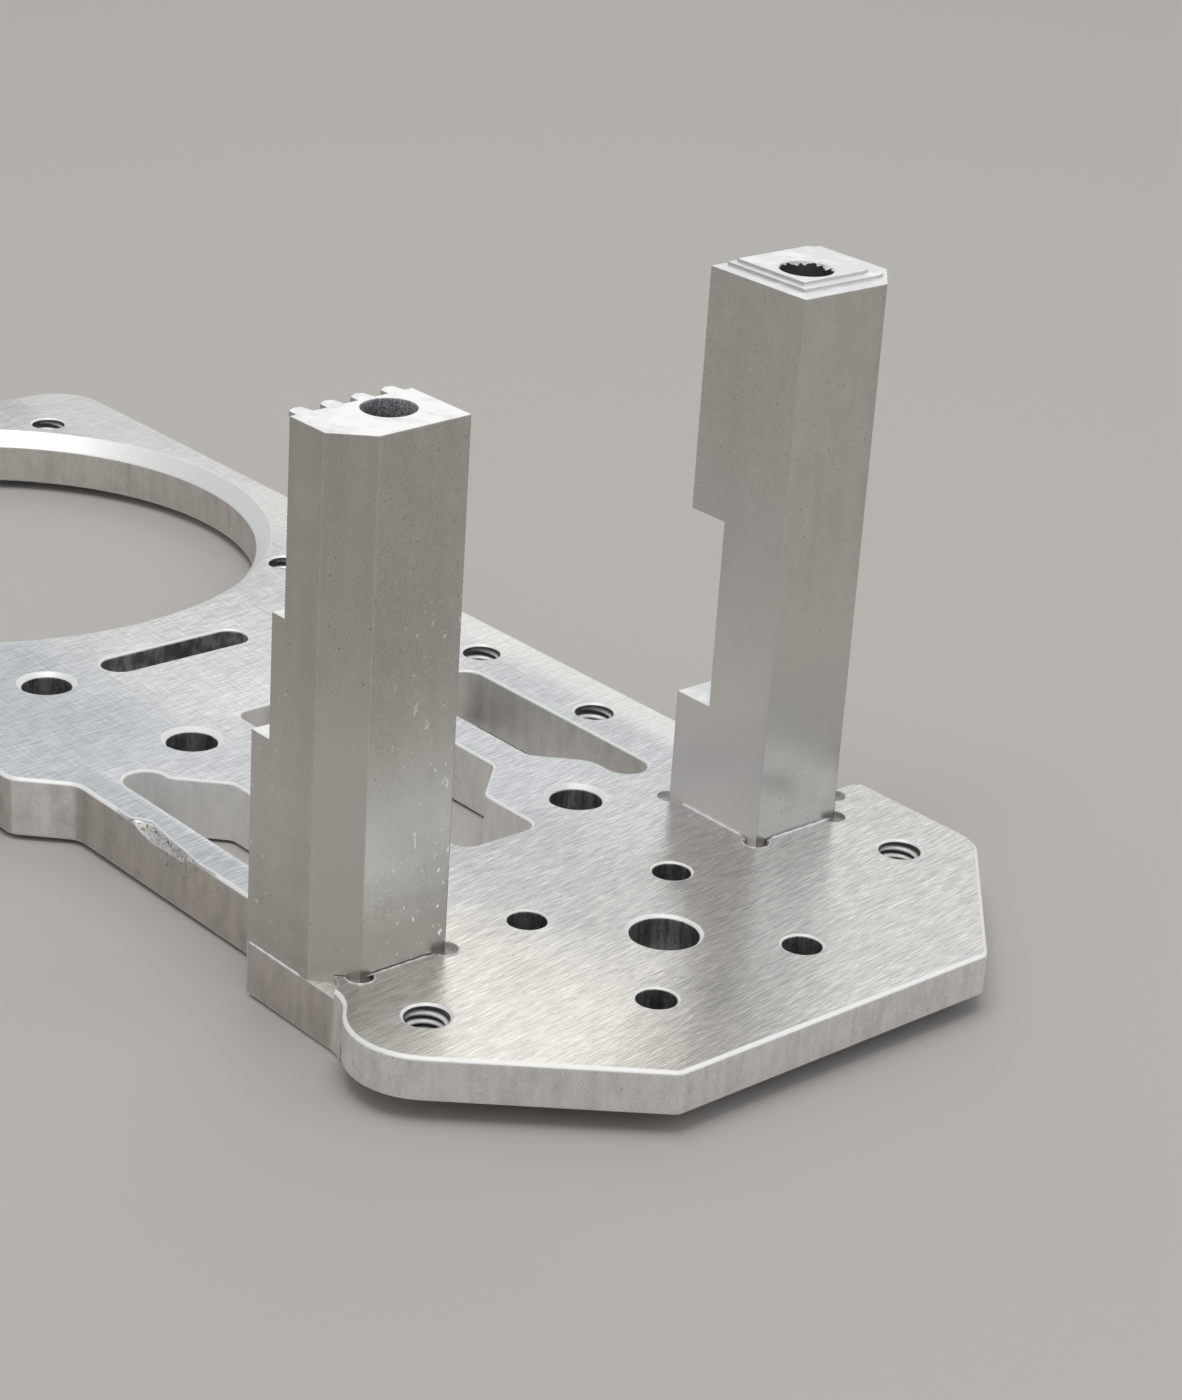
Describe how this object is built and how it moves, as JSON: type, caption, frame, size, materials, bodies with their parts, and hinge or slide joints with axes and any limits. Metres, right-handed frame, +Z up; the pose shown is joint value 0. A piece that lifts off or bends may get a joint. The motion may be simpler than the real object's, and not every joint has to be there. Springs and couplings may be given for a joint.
{
  "type": "tool plate",
  "caption": "Milled aluminium tool plate of a small robot arm, with a large ring opening, a tool bore, windows, tapped holes and upright posts.",
  "frame": {"origin": "centre of the large ring opening on the plate's underside", "axes": "+X along the plate towards the tool bore, +Z up through the plate towards the posts' tops"},
  "size_m": [0.1816, 0.0773, 0.0619],
  "materials": {
    "plate_aluminium": "satin, sanded across",
    "post_aluminium": "matte as milled",
    "screw_steel": "satin"
  },
  "bodies": {
    "root": {"tool_plate": "plate_aluminium", "left_post": "post_aluminium", "right_post": "post_aluminium", "left_post_screw": "screw_steel", "right_post_screw": "screw_steel"}
  },
  "joints": []
}
